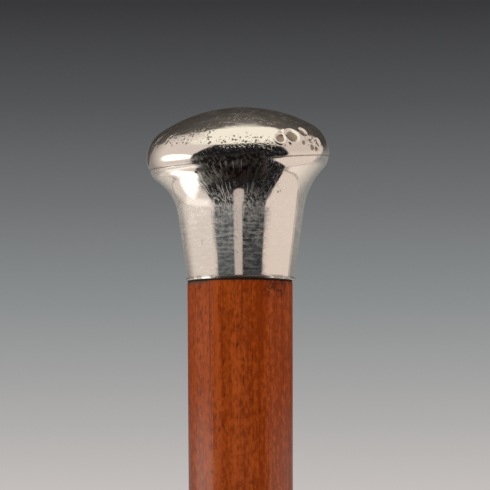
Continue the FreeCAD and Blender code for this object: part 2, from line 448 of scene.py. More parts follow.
def makeWorld():
    world = bpy.data.worlds.new("studio")
    bpy.context.scene.world = world
    world.use_nodes = True
    tree = world.node_tree
    tree.nodes.clear()
    graph = Graph(tree)
    direction = graph.node("ShaderNodeTexCoord").outputs["Generated"]
    x, y, z = graph.apart(direction)
    elevation = z.maths("ARCSINE", z) * (180 / math.pi)
    azimuth = x.maths("ARCTAN2", x, y * -1) * (180 / math.pi)
    behind = backdrop(graph, elevation)
    painted = paintStudio(graph, azimuth, elevation)
    seen = graph.wire("ShaderNodeLightPath", out="Is Camera Ray")
    colour = graph.blend(seen, painted, behind)
    light = graph.node("ShaderNodeBackground", None, {"Color": colour, "Strength": 1.0})
    end = graph.node("ShaderNodeOutputWorld")
    tree.links.new(light.outputs[0], end.inputs["Surface"])


# places and sizes in metres, power in watts
lamps = {
    "left": {"place": (-1.5, -0.75, 0.75), "aim": (0, 0, 0.55), "size": (1.4, 2.0), "power": 11.7},
    "right": {"place": (1.5, -0.45, 0.75), "aim": (0, 0, 0.55), "size": (1.4, 2.0), "power": 11.0},
    "overhead": {"place": (0.1, -0.3, 2.2), "aim": (0, 0, 0.6), "size": (1.6, 1.6), "power": 12.3},
    "front": {"place": (0.0, -2.2, 1.2), "aim": (0, 0, 0.5), "size": (1.8, 1.6), "power": 11.7},
    "rear": {"place": (0.3, 2.0, 1.2), "aim": (0, 0, 0.5), "size": (1.6, 1.6), "power": 8.2},
}
lampColour = (1.0, 0.985, 0.96)


def makeLamps():
    for name, lamp in lamps.items():
        data = bpy.data.lights.new("lamp_" + name, "AREA")
        data.shape = "RECTANGLE"
        data.size, data.size_y = lamp["size"]
        data.energy = lamp["power"]
        data.color = lampColour
        body = bpy.data.objects.new("lamp_" + name, data)
        toward = Vector(lamp["aim"]) - Vector(lamp["place"])
        turn = toward.to_track_quat("-Z", "Y").to_matrix().to_4x4()
        body.matrix_world = Matrix.Translation(lamp["place"]) @ turn
        body.visible_camera = False
        body.visible_glossy = False
        bpy.context.scene.collection.objects.link(body)


floor = {
    "reach": 20.0,  # metres
    "colour": (0.62, 0.615, 0.605),
    "mottledShare": 0.985,
    "mottle": (3.0, 3.0),
    "roughness": 0.9,
    "specular": 0.1,
}


def makeFloor():
    reach = floor["reach"]
    mesh = bpy.data.meshes.new("floor")
    corners = [(-reach, -reach, 0), (reach, -reach, 0), (reach, reach, 0), (-reach, reach, 0)]
    mesh.from_pydata(corners, [], [(0, 1, 2, 3)])
    plane = bpy.data.objects.new("floor", mesh)
    bpy.context.scene.collection.objects.link(plane)
    material, graph, place = newMaterial("floor_paper")
    mottled = [c * floor["mottledShare"] for c in floor["colour"]]
    tone = graph.blend(graph.grain(place, *floor["mottle"]), mottled, floor["colour"])
    feed(graph, Base_Color=tone, Roughness=floor["roughness"], Specular_IOR_Level=floor["specular"])
    mesh.materials.append(material)
    plane.visible_glossy = False


# Meshes

def makePiece(name, points, faces):  # points in millimetres
    mesh = bpy.data.meshes.new(name)
    mesh.from_pydata((np.asarray(points) * mm).tolist(), [], faces)
    mesh.validate()
    mesh.update()
    piece = bpy.data.objects.new(name, mesh)
    bpy.context.scene.collection.objects.link(piece)
    mesh.polygons.foreach_set("use_smooth", [True] * len(mesh.polygons))
    mesh.set_sharp_from_angle(angle=math.radians(knob["smoothAngle"]))
    return piece


def ringFaces(rows, around, closed=False):  # quads between rows of points, outward for rows going down
    faces = []
    last = rows if closed else rows - 1
    for row in range(last):
        below = (row + 1) % rows
        for step in range(around):
            beside = (step + 1) % around
            corners = (row * around + step, below * around + step)
            faces.append((*corners, below * around + beside, row * around + beside))
    return faces


def leaning(roll, nod):  # turns an upright frame to the left by roll and to the front by nod
    a = math.radians(-roll)
    b = math.radians(nod)
    aboutY = np.array([[math.cos(a), 0, math.sin(a)], [0, 1, 0], [-math.sin(a), 0, math.cos(a)]])
    aboutX = np.array([[1, 0, 0], [0, math.cos(b), -math.sin(b)], [0, math.sin(b), math.cos(b)]])
    return aboutY @ aboutX


def frontSpokes(around, crowding):  # unit vectors round a circle, closer together towards the front
    even = np.linspace(0, 2 * math.pi, around, endpoint=False)
    angles = even - crowding * np.sin(even + math.pi / 2)
    return np.stack([np.cos(angles), np.sin(angles), np.zeros(around)], 1)


def outwardNormals(rings):  # of a grid of points, rows by points round
    along = np.roll(rings, -1, 1) - np.roll(rings, 1, 1)
    down = np.gradient(rings, axis=0)
    normals = np.cross(down, along)
    return normals / np.linalg.norm(normals, axis=2, keepdims=True)


def corner(radius, height, rounding, start, end, steps=5):  # a quarter round about its own middle
    angles = np.radians(np.linspace(start, end, steps))
    return [(radius + rounding * math.cos(a), height + rounding * math.sin(a)) for a in angles]


rippleShift = Vector((7.31, 3.17, 5.53))  # how far apart two seeds lie in the noise
waveLift = 0.5  # lifts the long waves, before what lies under 0 is cut off


def ripple(points, size, seed):  # smooth noise about 0 on points in millimetres
    shift = rippleShift * seed
    flat = points.reshape(-1, 3)
    values = [noise.noise(Vector(p) / size + shift) for p in flat]
    return np.array(values).reshape(points.shape[:-1])


def waviness(points, w):  # millimetres inward: long shallow waves and small ones
    waves = (ripple(points, w["waveSize"], w["waveSeed"]) + waveLift).clip(0) * w["waveDepth"]
    return waves + np.abs(ripple(points, w["smallSize"], w["smallSeed"])) * w["smallDepth"]


# Knob

knob = {"shiftRight": 0.2, "silverAround": 480, "crowding": 0.45, "smoothAngle": 40}

skirt = {
    "wall": 0.5,
    "rimRadius": 12.1,
    "coneAngle": 8.0,
    "hollowRadius": 13.5,
    "flareAngle": 46.5,
    "swellRadius": 3.4,
    "startAngle": 1.9,
    "lipWidth": 0.4,
    "lipHeight": 0.6,
    "lipRounding": 0.2,
    "lipSteps": 6,
    "seamHeight": 26.9,
    "seamRadius": 20.35,
    "seamRoll": 4.35,
    "seamNod": 2.8,
    "seamShiftLeft": 0.2,
    "seamShiftFront": 0.1,
    "leanDepth": 12.75,
    "edgeRounding": 0.05,
    "roundingSteps": 4,
    "rows": (34, 6, 36, 26),  # on the swell, the flare, the hollow and the cone
    "insideStep": 6,  # the inside keeps one row in so many
    "calmRows": (8, 6),  # rows at the seam and at the lip that ease into the waves
    "waveSize": 9.0,
    "waveDepth": 0.02,
    "waveSeed": 3,
    "smallSize": 2.2,
    "smallDepth": 0.004,
    "smallSeed": 4,
}

crown = {
    "wall": 0.6,
    "overhang": 0.45,
    "topRadius": 33.5,
    "shoulderRadius": 7.6,
    "turnRadius": 3.85,
    "frontTurnRadius": 9.0,
    "riseOverSeam": 1.53,
    "roll": 2.9,
    "nod": 5.6,
    "shiftLeft": 0.54,
    "shiftFront": -0.15,
    "edgeRounding": 0.05,
    "roundingSteps": 4,
    "startHeight": 0.6,  # over the widest circle, where the rows turn to follow the seam
    "rows": (60, 58, 22),  # on the dome, the shoulder and down to the seam
    "insideRows": (8, 8, 3),
    "wornRows": 10,  # rows under the shoulder that the wear reaches
    "calmTop": (0.3, 0.6, 0.9),
    "insideTarnish": 0.5,
}


def seamFrame():
    across = knob["shiftRight"] - skirt["seamShiftLeft"]
    middle = np.array([across, -skirt["seamShiftFront"], rimHeight + skirt["seamHeight"]])
    return middle, leaning(skirt["seamRoll"], skirt["seamNod"])


def crownFrame():
    across = knob["shiftRight"] - crown["shiftLeft"]
    height = rimHeight + skirt["seamHeight"] + crown["riseOverSeam"]
    middle = np.array([across, -crown["shiftFront"], height])
    return middle, leaning(crown["roll"], crown["nod"])


def crownRadiusAt(height, inset, sideways=0.0):  # at or under the widest circle, in the crown's own frame
    c = crown
    widest = skirt["seamRadius"] + c["overhang"]
    turn = c["frontTurnRadius"] + (c["turnRadius"] - c["frontTurnRadius"]) * sideways**2 - inset
    shoulder = c["shoulderRadius"] - inset
    above = widest - c["shoulderRadius"] + np.sqrt(shoulder**2 - np.maximum(height, 0) ** 2)
    below = widest - inset - turn + np.sqrt(turn**2 - np.minimum(height, 0) ** 2)
    return np.where(height >= 0, above, below)


def crownTop(inset, domeRows, shoulderRows):  # radius and height of each row, and the apex's height
    c = crown
    widest = skirt["seamRadius"] + c["overhang"]
    between = c["topRadius"] - c["shoulderRadius"]
    domeCentre = -math.sqrt(between**2 - (widest - c["shoulderRadius"]) ** 2)
    meeting = math.asin(-domeCentre / between)
    rows = []
    for angle in np.linspace(math.pi / 2, meeting, domeRows + 1)[1:]:
        radius = c["topRadius"] - inset
        rows.append((radius * math.cos(angle), domeCentre + radius * math.sin(angle)))
    shoulder = c["shoulderRadius"] - inset
    lowest = math.asin(c["startHeight"] / shoulder)
    for angle in np.linspace(meeting, lowest, shoulderRows + 1)[1:]:
        across = widest - c["shoulderRadius"] + shoulder * math.cos(angle)
        rows.append((across, shoulder * math.sin(angle)))
    return rows, domeCentre + c["topRadius"] - inset


def crownRings(inset, counts, rounded):
    domeRows, shoulderRows, edgeRows = counts
    around = frontSpokes(knob["silverAround"], knob["crowding"])
    middle, turn = crownFrame()
    seamMiddle, seamTurn = seamFrame()
    up = seamTurn[:, 2]
    upright = np.array([0, 0, 1])

    def ring(radius, height):  # a radius and a height for each spoke
        return middle + (radius[:, None] * around + height[:, None] * upright) @ turn.T

    rows, apex = crownTop(inset, domeRows, shoulderRows)
    rings = [middle + (radius * around + height * upright) @ turn.T for radius, height in rows]
    # height of the seam plane under each spoke, in the crown's frame
    widest = crownRadiusAt(0.0, inset)
    foot = -((middle - seamMiddle) @ up + widest * (around @ turn.T) @ up) / (turn[:, 2] @ up)
    rounding = crown["edgeRounding"] if rounded else 0
    start = crown["startHeight"]
    sideways = around[:, 0]
    for share in np.linspace(0, 1, edgeRows + 1)[1:]:
        height = start + (foot + rounding - start) * share
        rings.append(ring(crownRadiusAt(height, inset, sideways), height))
    for angle in np.linspace(0, math.pi / 2, crown["roundingSteps"] + 1)[1:] if rounded else ():
        radius = crownRadiusAt(foot + rounding, inset, sideways) - rounding * (1 - math.cos(angle))
        rings.append(ring(radius, foot + rounding * (1 - math.sin(angle))))
    return np.array(rings), middle + turn @ (apex * upright)


knocks = {
    # photo pixel across and down, radius and depth in millimetres
    "dents": (
        (292.5, 135.0, 1.95, 0.40), (280.0, 137.6, 1.30, 0.27), (302.3, 131.2, 1.35, 0.28),
        (303.6, 142.5, 0.75, 0.15), (311.0, 139.8, 1.00, 0.15), (317.9, 142.3, 1.05, 0.17),
        (312.3, 147.3, 0.90, 0.18), (316.6, 148.5, 0.70, 0.14), (289.0, 145.0, 0.60, 0.05),
        (296.5, 126.5, 0.60, 0.06), (160.5, 139.0, 1.20, 0.13), (166.0, 141.5, 0.95, 0.11),
        (156.5, 143.0, 0.85, 0.09), (190.5, 134.0, 0.60, 0.05), (204.5, 130.0, 0.65, 0.05),
        (188.0, 143.0, 0.45, 0.04), (171.0, 137.0, 0.65, 0.06),
    ),
    "bowl": 1.5,  # how square the dent is in section
    "raisedShare": 0.22,
    "raisedAt": 1.1,  # in the dent's radii, as is the width
    "raisedWidth": 0.17,
    "waveSize": 7.0,
    "waveDepth": 0.03,
    "waveSeed": 1,
    "smallSize": 1.6,
    "smallDepth": 0.010,
    "smallSeed": 2,
}

stains = {
    # photo pixel across and down, radius in millimetres and strength
    "tarnish": (
        (292.5, 135.6, 2.35, 1.1), (280.0, 138.2, 1.6, 1.1), (302.3, 131.4, 1.35, 0.9),
        (303.6, 142.6, 0.95, 1.0), (312.3, 147.6, 1.15, 1.0), (316.6, 148.8, 0.95, 1.0),
        (311.0, 140.0, 0.9, 0.6), (164.0, 139.0, 2.3, 0.95), (158.5, 143.0, 1.5, 0.8),
        (153.0, 147.0, 1.4, 0.8), (148.9, 152.5, 1.9, 1.6), (148.3, 157.5, 2.0, 1.6),
        (147.9, 162.5, 1.6, 1.4), (190.0, 132.5, 1.0, 0.7), (204.0, 130.0, 1.0, 0.7),
        (186.0, 143.0, 0.8, 0.7),
    ),
    "pits": (
        (212.0, 143.0, 2.2, 0.7), (224.0, 141.5, 2.8, 1.0), (236.0, 141.0, 2.8, 1.0),
        (248.0, 140.0, 2.8, 1.0), (260.0, 140.5, 2.8, 1.0), (270.0, 142.0, 2.6, 1.0),
        (284.0, 145.0, 2.0, 0.5), (308.0, 139.0, 3.4, 0.8), (316.0, 145.0, 2.4, 0.9),
        (202.0, 138.0, 3.0, 0.55), (186.0, 138.0, 3.4, 0.75), (174.0, 139.0, 3.4, 0.9),
        (161.0, 140.5, 3.4, 1.3), (153.0, 146.0, 2.0, 1.1), (148.0, 156.0, 2.0, 1.0),
        (244.0, 130.0, 5.0, 0.3), (212.0, 132.0, 3.0, 0.5), (196.0, 131.5, 2.0, 0.7),
    ),
    "marks": (
        (277.9, 192.2, 0.42, 1.0), (280.2, 191.0, 0.36, 0.8), (202.4, 240.5, 0.50, 0.3),
        (202.1, 243.0, 0.45, 0.25),
    ),
}

spotSearch = {"turnedAway": 0.1, "penalty": 1e6}  # keeps a spot off the far side of the knob


def distances(points, normals, spots):  # of each point from each spot of the photo, in the spot's radii
    across, down = photoPlaces(points)
    hidden = (normals[..., 1] > spotSearch["turnedAway"]) * spotSearch["penalty"]
    for photoAcross, photoDown, radius, strength in spots:
        miss = (across - photoAcross) ** 2 + (down - photoDown) ** 2 + hidden
        centre = points.reshape(-1, 3)[miss.argmin()]
        yield np.linalg.norm(points - centre, axis=2) / radius, strength


def dentDepths(points, normals):
    total = np.zeros(points.shape[:2])
    k = knocks
    for away, depth in distances(points, normals, k["dents"]):
        raised = k["raisedShare"] * np.exp(-(((away - k["raisedAt"]) / k["raisedWidth"]) ** 2))
        total += depth * (np.clip(1 - away**2, 0, 1) ** k["bowl"] - raised)
    return total


def stainStrengths(points, normals, name):
    total = np.zeros(points.shape[:2])
    for away, strength in distances(points, normals, stains[name]):
        total += strength * np.clip(1 - away**2, 0, 1) ** 2
    return total.clip(0, 1)


def paint(piece, name, values):  # keeps one number for each point, for the material to read
    layer = piece.data.attributes.new(name, "FLOAT", "POINT")
    layer.data.foreach_set("value", np.asarray(values, dtype=np.float32))


def makeCrown():
    c = crown
    outer, apex = crownRings(0, c["rows"], True)
    plain = sum(c["rows"][:2]) + c["wornRows"]  # rows above the seam's edge, which keeps its line
    normals = outwardNormals(outer)
    calm = np.ones(len(outer))
    calm[plain:] = np.linspace(1, 0, len(outer) - plain)
    calm[:len(c["calmTop"])] = c["calmTop"]
    depth = dentDepths(outer, normals) + waviness(outer, knocks)
    tarnish = stainStrengths(outer, normals, "tarnish")
    pits = stainStrengths(outer, normals, "pits")
    outer = outer - normals * (depth * calm[:, None])[..., None]
    inner, innerApex = crownRings(c["wall"], c["insideRows"], False)
    inner = inner[::-1]
    rings = np.concatenate([outer, inner])
    around = knob["silverAround"]
    points = np.concatenate([rings.reshape(-1, 3), [apex, innerApex]])
    faces = ringFaces(len(rings), around)
    top = len(rings) * around
    lowest = (len(rings) - 1) * around
    for step in range(around):
        beside = (step + 1) % around
        faces.append((top, step, beside))
        faces.append((top + 1, lowest + beside, lowest + step))
    piece = makePiece("crown_shell", points, faces)
    unseen = np.zeros(inner.shape[0] * around + 2)
    paint(piece, "tarnish", np.concatenate([tarnish.ravel(), unseen + c["insideTarnish"]]))
    paint(piece, "pits", np.concatenate([pits.ravel(), unseen]))
    return piece


def bend(depth, radius, size, first, last, rows):  # an arc of the skirt, hollow where size is negative
    outline = []
    for slope in np.linspace(first, last, rows):
        drop = size * (math.sin(slope) - math.sin(first))
        narrowing = size * (math.cos(first) - math.cos(slope))
        outline.append((depth + drop, radius - narrowing, slope))
    return outline


def skirtOutline():  # depth under the seam, radius and slope of the outside, down to the lip
    s = skirt
    start, flare, cone = (math.radians(s[key]) for key in ("startAngle", "flareAngle", "coneAngle"))
    swellRows, flareRows, hollowRows, coneRows = s["rows"]
    rows = bend(0, s["seamRadius"], s["swellRadius"], start, flare, swellRows)
    depth, radius, _ = rows[-1]
    hollowDrop = s["hollowRadius"] * (math.sin(flare) - math.sin(cone))
    hollowIn = s["hollowRadius"] * (math.cos(cone) - math.cos(flare))
    left = radius - hollowIn - s["rimRadius"] - (s["seamHeight"] - depth - hollowDrop) * math.tan(cone)
    length = left / (math.sin(flare) - math.cos(flare) * math.tan(cone))
    for part in np.linspace(0, length, flareRows)[1:]:
        rows.append((depth + part * math.cos(flare), radius - part * math.sin(flare), flare))
    depth, radius, _ = rows[-1]
    rows += bend(depth, radius, -s["hollowRadius"], flare, cone, hollowRows)[1:]
    depth, radius, _ = rows[-1]
    lipTop = s["seamHeight"] - s["lipHeight"]
    for share in np.linspace(0, 1, coneRows)[1:]:
        here = depth + (lipTop - depth) * share
        rows.append((here, radius - (here - depth) * math.tan(cone), cone))
    return rows


def lipOutline():  # the thin rim lip, from the cone out, round and in to the bore
    s = skirt
    r = s["lipRounding"]
    middle = s["rimRadius"] + s["lipWidth"] - r
    rows = []
    for depth, start, end in (
        (s["seamHeight"] - s["lipHeight"] + r, 90, 0),
        (s["seamHeight"] - r, 0, -90),
    ):
        rows += [(depth - down, out) for out, down in corner(middle, 0, r, start, end, s["lipSteps"])]
    rows.append((s["seamHeight"], s["rimRadius"] - s["wall"]))
    return rows


def skirtRing(depth, radius, around):
    s = skirt
    left = max(0, 1 - depth / s["leanDepth"])
    lean = left * left * (3 - 2 * left)
    across = knob["shiftRight"] - s["seamShiftLeft"] * lean
    middle = np.array([across, -s["seamShiftFront"] * lean, rimHeight + s["seamHeight"] - depth])
    return middle + (radius * around) @ leaning(s["seamRoll"] * lean, s["seamNod"] * lean).T


def makeSkirt():
    s = skirt
    around = frontSpokes(knob["silverAround"], knob["crowding"])
    outline = skirtOutline()
    rounding = s["edgeRounding"]
    rows = []
    for angle in np.radians(np.linspace(90, s["startAngle"], s["roundingSteps"] + 1)[:-1]):
        drop = rounding * (1 - math.sin(angle))
        rows.append((drop, s["seamRadius"] - rounding * (1 - math.cos(angle))))
    rows += [(depth, radius) for depth, radius, _ in outline if depth > rounding]
    outside = np.array([skirtRing(depth, radius, around) for depth, radius in rows])
    normals = outwardNormals(outside)
    top, foot = s["calmRows"]
    calm = np.ones(len(outside))
    calm[:top] = np.linspace(0, 1, top)
    calm[-foot:] = np.linspace(1, 0, foot)
    marks = stainStrengths(outside, normals, "marks").ravel()
    outside = outside - normals * (waviness(outside, s) * calm[:, None])[..., None]
    lip = np.array([skirtRing(depth, radius, around) for depth, radius in lipOutline()])
    inside = []
    for depth, radius, slope in outline[::-s["insideStep"]]:
        inside.append(skirtRing(depth, radius - s["wall"] / math.cos(slope), around))
    rings = np.concatenate([outside, lip, np.array(inside)])
    points = rings.reshape(-1, 3)
    faces = ringFaces(len(rings), knob["silverAround"], closed=True)
    piece = makePiece("skirt_shell", points, faces)
    paint(piece, "marks", np.concatenate([marks, np.zeros(len(points) - len(marks))]))
    return piece


makeCamera()
makeWorld()
makeLamps()
makeFloor()
print("camera, studio and floor are in place")

crownShell = makeCrown()
skirtShell = makeSkirt()
print("crown and skirt are formed")


# Turned pieces: an outline of radius and height, swept round the shaft's axis by Geometry Nodes

def newTree(name, inputs):  # a geometry tree with named inputs
    tree = bpy.data.node_groups.new(name, "GeometryNodeTree")
    for label, kind in (*inputs, ("Finish", "Material")):
        tree.interface.new_socket(name=label, in_out="INPUT", socket_type="NodeSocket" + kind)
    tree.interface.new_socket(name="Piece", in_out="OUTPUT", socket_type="NodeSocketGeometry")
    graph = Graph(tree)
    return tree, graph, graph.node("NodeGroupInput").outputs


def giveOut(graph, given, shape):  # the shape with its finish, as what the tree makes
    solid = graph.wire("GeometryNodeRealizeInstances", None, {"Geometry": shape})
    finish = {"Geometry": solid, "Material": given["Finish"]}
    graph.node("NodeGroupOutput", None, {"Piece": graph.wire("GeometryNodeSetMaterial", None, finish)})


def turnedTree():
    tree, graph, given = newTree("turned_piece", (
        ("Outline", "Geometry"), ("Steps around", "Int"), ("Hub", "Float"), ("Unevenness", "Float"),
        ("Waves per metre", "Float"), ("Stretch", "Float"), ("Seed", "Int"), ("Sharp angle", "Float"),
    ))
    outline = graph.wire("GeometryNodeMeshToCurve", None, {"Mesh": given["Outline"]})
    circle = {"Resolution": given["Steps around"], "Radius": given["Hub"]}
    hub = graph.wire("GeometryNodeCurvePrimitiveCircle", None, circle)
    swept = graph.wire("GeometryNodeCurveToMesh", None, {"Curve": hub, "Profile Curve": outline})
    whole = {"Geometry": swept, "Distance": turning["weld"]}
    whole = graph.wire("GeometryNodeMergeByDistance", None, whole)
    whole = graph.wire("GeometryNodeFlipFaces", None, {"Mesh": whole})
    x, y, z = graph.apart(graph.wire("GeometryNodeInputPosition"))
    shift = Wire(graph, given["Seed"]) * turning["seedShift"]
    stretched = graph.vector(x, y, z / given["Stretch"] + shift)
    wave = graph.grain(stretched, given["Waves per metre"])
    inward = {"Vector": graph.wire("GeometryNodeInputNormal"), "Scale": (wave - 1) * given["Unevenness"]}
    inward = graph.wire("ShaderNodeVectorMath", {"operation": "SCALE"}, inward)
    worn = graph.wire("GeometryNodeSetPosition", None, {"Geometry": whole, "Offset": inward})
    smooth = graph.wire("GeometryNodeSetShadeSmooth", None, {"Geometry": worn, "Shade Smooth": True})
    sharp = graph.wire("GeometryNodeInputMeshEdgeAngle") > given["Sharp angle"]
    edges = {"Geometry": smooth, "Selection": sharp, "Shade Smooth": False}
    edges = graph.wire("GeometryNodeSetShadeSmooth", {"domain": "EDGE"}, edges)
    giveOut(graph, given, edges)
    return tree


def pinTree():
    inputs = (("Places", "Geometry"), ("Radius", "Float"), ("Length", "Float"))
    tree, graph, given = newTree("pins", inputs)
    size = {"Vertices": turning["stepsRoundPin"], "Radius": given["Radius"], "Depth": given["Length"]}
    pin = graph.wire("GeometryNodeMeshCylinder", None, size)
    lying = {"Points": given["Places"], "Instance": pin, "Rotation": (0, math.pi / 2, 0)}
    giveOut(graph, given, graph.wire("GeometryNodeInstanceOnPoints", None, lying))
    return tree


def grow(name, tree, points, edges, sizes):  # runs a tree on a few points and keeps the mesh it makes
    sketch = bpy.data.meshes.new(name + "_sketch")
    sketch.from_pydata((np.asarray(points) * mm).tolist(), edges, [])
    source = bpy.data.objects.new(name + "_sketch", sketch)
    bpy.context.scene.collection.objects.link(source)
    modifier = source.modifiers.new("tree", "NODES")
    modifier.node_group = tree
    for socket in tree.interface.items_tree:
        if socket.name in sizes:
            modifier[socket.identifier] = sizes[socket.name]
    grown = source.evaluated_get(bpy.context.evaluated_depsgraph_get())
    mesh = bpy.data.meshes.new_from_object(grown)
    mesh.name = name
    bpy.data.objects.remove(source)
    shape = bmesh.new()
    shape.from_mesh(mesh)
    bmesh.ops.recalc_face_normals(shape, faces=shape.faces)
    shape.to_mesh(mesh)
    shape.free()
    piece = bpy.data.objects.new(name, mesh)
    bpy.context.scene.collection.objects.link(piece)
    return piece


turning = {
    "hub": 1.0,
    "stepsAround": 160,
    "stepsRoundPin": 32,
    "sharpAngle": 35.0,
    "weld": 1e-6,  # metres
    "seed": 3,
    "seedShift": 0.37,  # metres along the noise for each seed
}


def turnPiece(name, tree, outline, finish, unevenness, waves, stretch, ring):
    hub = turning["hub"]
    points = [(radius - hub, -height, 0) for radius, height in outline]
    edges = [(step, step + 1) for step in range(len(points) - 1)]
    if ring:
        edges.append((len(points) - 1, 0))
    sizes = {
        "Steps around": turning["stepsAround"], "Hub": hub * mm, "Unevenness": unevenness * mm,
        "Waves per metre": waves, "Stretch": stretch, "Seed": turning["seed"],
        "Sharp angle": math.radians(turning["sharpAngle"]), "Finish": finish,
    }
    return grow(name, tree, points, edges, sizes)


# Materials

# In a look's dictionary, a noise has its waves a metre, detail and roughness. One under "grains" has its
# waves across and upright, then detail, roughness, lean and shift. A fade is where a share is 0 and where
# it is 1. "rough" and "height" weigh the parts in the roughness and, in metres, in the relief. "roughest",
# the parts that take grime or painted crease shade, and the scratches that lighten the painted dark
# reflection at the front of the seam give each part its strength, and the strongest counts.

def weighed(parts, weights):
    total = 0
    for name, weight in weights.items():
        total = parts[name] * weight + total
    return total


def strongest(parts, weights):
    first, *others = (parts[name] * weight for name, weight in weights.items())
    for other in others:
        first = first.most(other)
    return first


def dress(graph, look, parts, **values):
    rough = look["roughness"] + weighed(parts, look["rough"])
    if "roughest" in look:
        rough = rough.most(strongest(parts, look["roughest"]))
    bump = {"Height": weighed(parts, look["height"]), "Distance": 1.0, "Strength": 1.0}
    feed(graph, Roughness=rough, Normal=graph.wire("ShaderNodeBump", None, bump), **values)


def streaked(graph, axes, turn, across, along):  # noise drawn out at an angle in the XZ plane
    x, y, z = axes
    a = math.radians(turn)
    wide = x * (math.cos(a) * across) + z * (math.sin(a) * across)
    long = x * (-math.sin(a) * along) + z * (math.cos(a) * along)
    return graph.grain(graph.vector(wide, y * along, long), 1.0)


silver = {
    "colour": (0.90, 0.875, 0.84),
    "tarnish": (0.27, 0.215, 0.155),
    # grime, and also the painted shade in the seam's crease
    "grimeAndShade": (0.095, 0.075, 0.062),
    "soot": (0.048, 0.045, 0.044),  # painted dark reflection at the front of the seam
    "crease": (0.24, 0.03),  # millimetres either side of the seam that get painted shade, with some dirt
    "creaseShadeBlotch": 1.4,
    "front": (0, -8),  # millimetres along y, over which the painted dark reflection fades in at the front
}

crownWear = {
    "roughness": 0.05,
    "blotch": (900.0, 4.0, 0.65),
    # polishing strokes: waves a metre by x and y in two directions, waves upright, shift and fade
    "strokes": (
        ((700, 2300), (-180, 60), 900, 0, (0.50, 0.72)),
        ((1900, -900), (60, 200), 500, 3, (0.52, 0.74)),
    ),
    "strokesDetail": 3.0,
    "strokesLeast": 0.2,
    "domeFrom": (31.5, 35.5),  # millimetres over the rim
    "dull": (130.0, 3.0),
    # pits: cells a metre, their fade, how much the blotches gather them, fade of that and strength
    "pits": ((1150.0, (0.36, 0.18), 0.5, (0.25, 0.6), 1), (2100.0, (0.34, 0.16), 0.6, (0.3, 0.65), 0.75)),
    "dirt": {"gain": 1.25, "loss": 0.62, "fade": (0.28, 0.62), "edge": (0.02, 0.4), "share": 0.9},
    "scuff": (1500, 1300, 3.0, 0.6, 900),
    "fades": {
        "dull": (0.35, 0.65),
        "grimyLeft": (-12, -14.5),  # millimetres along x
        "scuff": (0.46, 0.66),
        "scuffUp": (8, 4),  # millimetres over the seam
        "freckles": (0.5, 0.62),
    },
    # the patch of painted dark reflection at the front of the seam, on the crown
    "paintedDarkPatch": {"middle": -2.4, "ragged": 4, "across": (11.9, 8.9), "raggedUp": 1, "up": (3.0, 1.2)},
    # scratches that show lighter inside the painted dark reflection
    "paintedDarkLifted": {"scuff": 0.42},
    # strengths of grime, and of the painted shade in the seam's crease
    "grimyAndShaded": {"pits": 0.8, "crease": 0.8},
    "rough": {"blotch": 0.03, "strokes": 0.16, "dulled": 0.10, "pitted": 0.05},
    "roughest": {"dirt": 0.38, "pits": 0.42, "crease": 0.5, "soot": 0.45},
    "scatter": {"strokes": 0.04, "freckles": 0.095, "dirt": 0.12},
    "scuffScatter": 0.047,
    "height": {"strokes": 1.2e-6, "pits": -5e-5, "dirt": -1.5e-5, "coarse": 1.0e-5},
}

skirtWear = {
    "roughness": 0.05,
    "blotch": (420.0, 4.0, 0.6),
    # waves round the neck, front to back and up a metre, then detail
    "fan": (82, 62, 130, 1.0),
    "broken": (30, 30, 560, 2.0),
    "fanWide": 1.77,
    "fanNarrower": 0.045,  # for each millimetre up
    "fanLeast": 0.4,
    "grains": {
        "rings": (330, 1800, 4.0, 0.7), "haze": (1150, 1300, 3.0, 0.65),
        "frost": (2000, 1300, 3.0, 0.6, 700),
    },
    "frostHeight": 16.6,
    "frostLeast": 0.55,
    "frostGain": 1.3,
    "lowerLeast": 0.35,
    "lowerRightLeast": 0.7,
    "lowerShare": 0.95,
    "lower": {"rings": 0.7, "haze": 0.5},
    # stray scratches: angle, waves a metre across and along, and fade
    "stray": ((35, 2600, 260, (0.66, 0.72)), (-40, 2600, 260, (0.66, 0.72)), (78, 2900, 200, (0.67, 0.74))),
    "specks": 520.0,
    "lipShare": 0.6,
    "lipFrontDark": {"middle": 0.5, "across": (7.0, 4.6), "front": (0, -6), "share": 0.95},
    # millimetres over the rim for names in Up, and the share across, -1 to 1, for names in Left
    "fades": {
        "fan": (0.53, 0.60), "broken": (0.42, 0.54), "fanUp": (11, 15), "fanLeft": (0.16, -0.10),
        "rings": (0.46, 0.58), "ringsUp": (18.5, 14), "haze": (0.44, 0.58), "frost": (0.45, 0.60),
        "frostUp": (4.2, 0.6), "frostLeft": (0.35, -0.05), "lowerUp": (0, 15),
        "lowerEndUp": (19, 14), "lowerLeft": (0.3, -0.2), "strayBlotch": (0.45, 0.62),
        "speck": (0.11, 0.05), "speckBlotch": (0.58, 0.7), "lipUp": (1.1, 0.55),
        "lipBlotch": (0.45, 0.6), "lipFrontDarkUp": (0.8, 0.55),
    },
    # the patch of painted dark reflection at the front of the seam, on the skirt
    "paintedDarkPatch": {"middle": -1.3, "ragged": 4, "across": (11.4, 8.0), "raggedUp": -3, "up": (-8.6, -4.4)},
    # scratches that show lighter inside the painted dark reflection
    "paintedDarkLifted": {"fan": 0.8, "haze": 0.2},
    "speckShare": 0.7,
    # strengths of grime, and of the painted shade in the seam's crease
    "grimyAndShaded": {"crease": 0.8, "lip": 0.9, "marks": 0.9},
    "rough": {"blotch": 0.03, "fan": 0.12, "rings": 0.05, "frost": 0.1, "stray": 0.2},
    "roughest": {"specks": 0.4, "crease": 0.5, "lip": 0.5, "soot": 0.45},
    "scatter": {"fan": 0.38, "lower": 0.27, "stray": 0.17, "haze": 0.04},
    "height": {"fan": -2e-6, "rings": -7e-7, "stray": -3e-6, "specks": -2e-5, "blotch": 3e-6},
}


def inMetres(fade):
    return [place * mm for place in fade]


